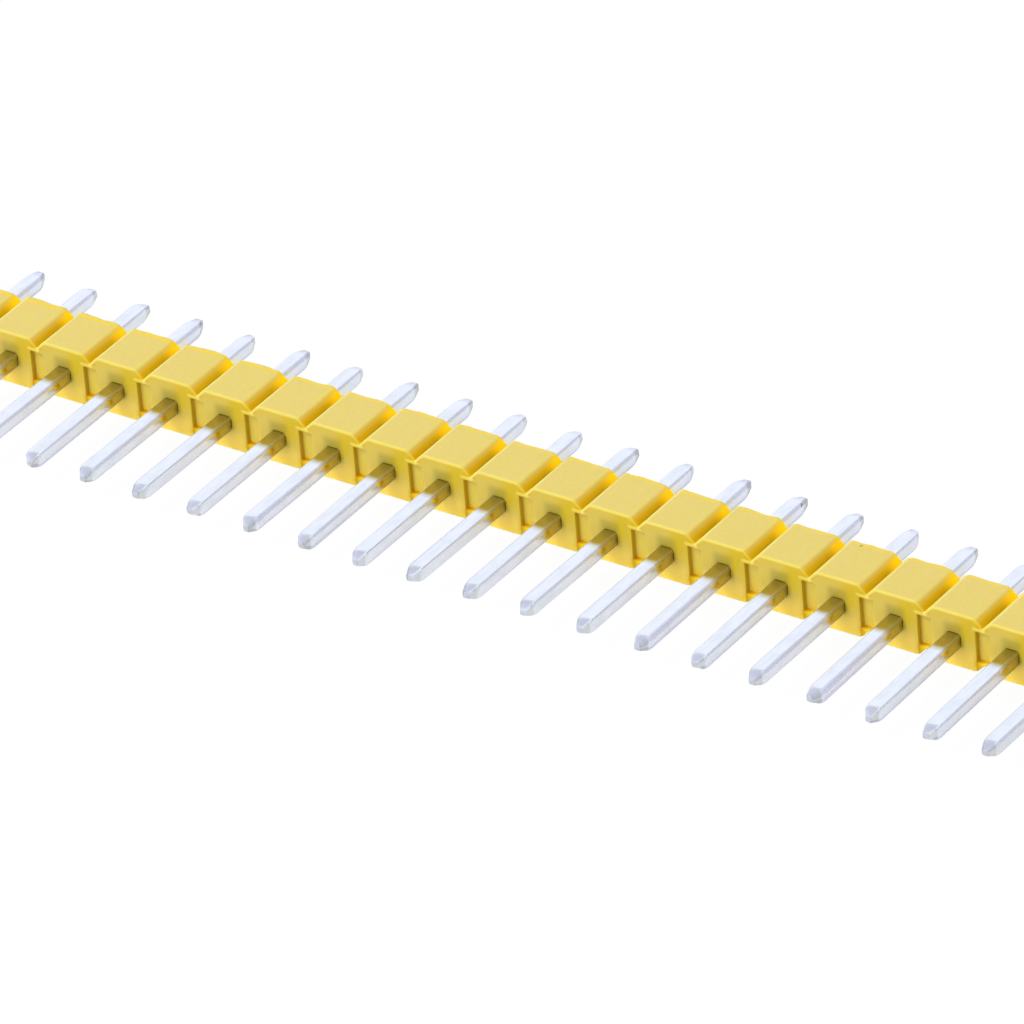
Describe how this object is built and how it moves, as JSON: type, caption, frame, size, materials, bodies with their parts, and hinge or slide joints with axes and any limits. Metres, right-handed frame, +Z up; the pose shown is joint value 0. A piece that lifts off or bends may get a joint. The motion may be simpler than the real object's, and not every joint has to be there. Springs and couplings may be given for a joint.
{
  "type": "pin header strip",
  "caption": "Single-row breakaway pin header: a V-scored yellow plastic strip holding square tin-plated posts, long mating ends on one side and short solder tails on the other.",
  "frame": {"origin": "middle of the face that seats on the board, level with the posts' axes", "axes": "+X along the row, +Y along the posts from the long mating ends to the short solder tails, +Z up out of the scored long side as the strip lies"},
  "size_m": [0.1016, 0.0116, 0.0024],
  "materials": {
    "insulator": "moulded yellow polyester, satin, slightly translucent",
    "post_plating": "bright tin plate over drawn brass wire"
  },
  "bodies": {
    "root": {"housing": "insulator", "pin_01": "post_plating", "pin_02": "post_plating", "pin_03": "post_plating", "pin_04": "post_plating", "pin_05": "post_plating", "pin_06": "post_plating", "pin_07": "post_plating", "pin_08": "post_plating", "pin_09": "post_plating", "pin_10": "post_plating", "pin_11": "post_plating", "pin_12": "post_plating", "pin_13": "post_plating", "pin_14": "post_plating", "pin_15": "post_plating", "pin_16": "post_plating", "pin_17": "post_plating", "pin_18": "post_plating", "pin_19": "post_plating", "pin_20": "post_plating", "pin_21": "post_plating", "pin_22": "post_plating", "pin_23": "post_plating", "pin_24": "post_plating", "pin_25": "post_plating", "pin_26": "post_plating", "pin_27": "post_plating", "pin_28": "post_plating", "pin_29": "post_plating", "pin_30": "post_plating", "pin_31": "post_plating", "pin_32": "post_plating", "pin_33": "post_plating", "pin_34": "post_plating", "pin_35": "post_plating", "pin_36": "post_plating", "pin_37": "post_plating", "pin_38": "post_plating", "pin_39": "post_plating", "pin_40": "post_plating"}
  },
  "joints": []
}
